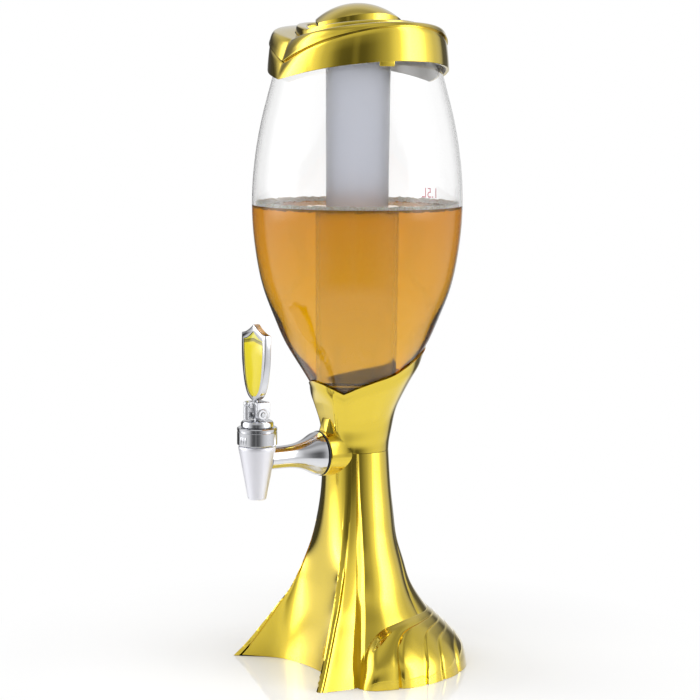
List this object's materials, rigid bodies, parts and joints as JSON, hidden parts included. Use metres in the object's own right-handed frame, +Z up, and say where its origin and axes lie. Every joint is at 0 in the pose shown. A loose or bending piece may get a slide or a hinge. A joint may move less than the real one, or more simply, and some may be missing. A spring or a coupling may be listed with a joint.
{
  "type": "table-top beer tower",
  "caption": "Table-top drink tower: clear barrel-shaped tank on a hollow gold pedestal, lift-off lid with hanging ice tube, and a lever tap on a side shank.",
  "frame": {"origin": "centre of the flat underside of the base, on the axis of the tank", "axes": "+Z up along the tank's axis; the tap points along -Y; the tower is mirror-symmetric about x = 0"},
  "size_m": [0.1656, 0.1817, 0.4845],
  "materials": {
    "gold_plated_plastic": "mirror gold plating on moulded ABS",
    "base_plastic": "moulded",
    "screw_steel": "turned",
    "clear_plastic": "clear blown plastic",
    "silicone": "moulded",
    "nut_plastic": "moulded",
    "drink": "clear amber liquid",
    "black_rubber": "moulded",
    "chrome": "polished chrome plating",
    "badge_enamel": "plain yellow enamel, no lettering",
    "frosted_plastic": "milky moulded plastic"
  },
  "bodies": {
    "stand": {"lower_body": "gold_plated_plastic", "bottom_plate": "base_plastic", "bottom_screw_1": "screw_steel", "bottom_screw_2": "screw_steel", "bottom_screw_3": "screw_steel", "bottom_screw_4": "screw_steel", "collar": "gold_plated_plastic", "tank": "clear_plastic", "tank_gasket": "silicone", "tank_nut": "nut_plastic", "drink": "drink", "boss_oring": "black_rubber", "tap_gasket": "silicone", "tap_shank": "chrome", "spout_body": "chrome", "ring_nut": "chrome", "bonnet": "chrome", "stem_seal": "black_rubber"},
    "lid": {"lid_band": "gold_plated_plastic", "lid_crown": "gold_plated_plastic", "lid_tier": "gold_plated_plastic", "lid_seal": "silicone", "ice_tube": "frosted_plastic"},
    "lid_cap": {"lid_dome": "gold_plated_plastic"},
    "valve": {"valve_stem": "screw_steel", "valve_cup": "black_rubber", "lever_pin": "screw_steel"},
    "tap_lever": {"lever_hub": "chrome", "badge_frame": "chrome", "badge_panel": "badge_enamel"}
  },
  "joints": [
    {"name": "lid_lift", "type": "slide", "parent": "stand", "child": "lid", "axis": [0, 0, 1], "range_m": [0, 0.27]},
    {"name": "cap_lift", "type": "slide", "parent": "lid", "child": "lid_cap", "axis": [0, 0, 1], "range_m": [0, 0.045]},
    {"name": "valve_lift", "type": "slide", "parent": "stand", "child": "valve", "axis": [0, 0, 1], "range_m": [0, 0.0052]},
    {"name": "lever_pull", "type": "hinge", "parent": "valve", "child": "tap_lever", "pos_m": [0, -0.084, 0.1926], "axis": [1, 0, 0], "range_deg": [0, 40]}
  ],
  "couplings": [
    {"joint": "valve_lift", "follows": "lever_pull", "m_per_rad": 0.00716}
  ]
}
